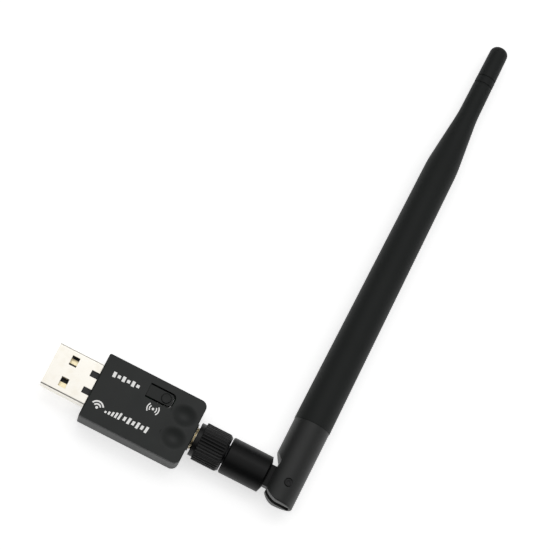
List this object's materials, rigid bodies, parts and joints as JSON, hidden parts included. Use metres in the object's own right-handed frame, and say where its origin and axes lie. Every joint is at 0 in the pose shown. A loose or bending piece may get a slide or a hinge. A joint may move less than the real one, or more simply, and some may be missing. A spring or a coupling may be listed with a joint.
{
  "type": "usb wifi adapter",
  "caption": "Short charcoal case with a USB plug at one end and a screw-on swivel antenna, folded square, at the other; a tongue-shaped pairing button in its top.",
  "frame": {"origin": "middle of the plug shell where it leaves the front face of the case", "axes": "-X out of the plug, +X along the antenna connector, +Y along the folded antenna, +Z out of the button face"},
  "size_m": [0.073, 0.1427, 0.0104],
  "materials": {
    "case_plastic": "fine matt moulded, charcoal",
    "nickel_shell": "satin nickel plate over sheet steel",
    "black_insulator": "matt moulded black",
    "gold_contact": "gold flash on copper alloy",
    "board": "green solder mask",
    "chip_black": "moulded epoxy",
    "can_metal": "bright can",
    "capacitor": "fired ceramic",
    "plunger_plastic": "off-white moulded",
    "jack_gold": "gold plated brass",
    "dark_nickel": "black nickel plate over brass",
    "white_insulator": "waxy white fluoropolymer",
    "nut_plastic": "satin moulded black",
    "nut_brass": "turned brass",
    "spring_steel": "rolled spring wire",
    "barrel_plastic": "satin moulded black",
    "cable_jacket": "extruded jacket",
    "base_plastic": "satin moulded black",
    "pin_plastic": "satin moulded black",
    "radome_rubbery": "soft matt elastomer, dark grey",
    "sleeve_brass": "drawn tube",
    "copper_wire": "bare copper",
    "foam": "closed-cell foam"
  },
  "bodies": {
    "adapter": {"case_bottom": "case_plastic", "case_top": "case_plastic", "usb_shell": "nickel_shell", "usb_insulator": "black_insulator", "usb_contacts": "gold_contact", "circuit_board": "board", "radio_chip": "chip_black", "crystal_can": "can_metal", "power_inductor": "chip_black", "voltage_regulator": "chip_black", "chip_capacitors": "capacitor", "switch_base": "chip_black", "switch_frame": "can_metal", "antenna_jack": "jack_gold", "jack_insulator": "white_insulator", "jack_pin": "gold_contact"},
    "button": {"pair_button": "case_plastic"},
    "plunger": {"switch_plunger": "plunger_plastic"},
    "connector": {"snap_ring": "spring_steel", "plug_ferrule": "dark_nickel", "plug_insulator": "white_insulator", "plug_socket": "gold_contact", "coax_crimp": "can_metal"},
    "nut": {"coupling_nut": "nut_plastic", "nut_insert": "nut_brass"},
    "barrel": {"swivel_barrel": "barrel_plastic", "lead_coax": "cable_jacket"},
    "antenna": {"antenna_base": "base_plastic", "hinge_pins": "pin_plastic", "radome": "radome_rubbery", "tip_cap": "radome_rubbery", "whip_coax": "cable_jacket", "dipole_sleeve": "sleeve_brass", "radiator": "copper_wire", "foam_spacer": "foam"}
  },
  "joints": [
    {"name": "button_press", "type": "hinge", "parent": "adapter", "child": "button", "pos_m": [0.013, 0.00515, 0.0029], "axis": [0, 1, 0], "range_deg": [0, 2.3], "stiffness_Nm_per_rad": 0.2},
    {"name": "plunger_press", "type": "slide", "parent": "adapter", "child": "plunger", "axis": [0, 0, -1], "range_m": [0, 0.00022]},
    {"name": "unscrew", "type": "slide", "parent": "adapter", "child": "connector", "axis": [1, 0, 0], "range_m": [0, 0.0058]},
    {"name": "nut_turn", "type": "hinge", "parent": "connector", "child": "nut", "pos_m": [0.02955, 0, -0.0005], "axis": [1, 0, 0], "range_deg": [0, 2961]},
    {"name": "swivel", "type": "hinge", "parent": "connector", "child": "barrel", "pos_m": [0.03865, 0, -0.0005], "axis": [1, 0, 0], "range_deg": [-180, 180]},
    {"name": "fold", "type": "hinge", "parent": "barrel", "child": "antenna", "pos_m": [0.0562, 0, -0.0005], "axis": [0, 0, 1], "range_deg": [-90, 0]}
  ],
  "couplings": [
    {"joint": "plunger_press", "follows": "button_press", "m_per_rad": 0.00525},
    {"joint": "nut_turn", "follows": "unscrew", "rad_per_m": 8905.3}
  ]
}
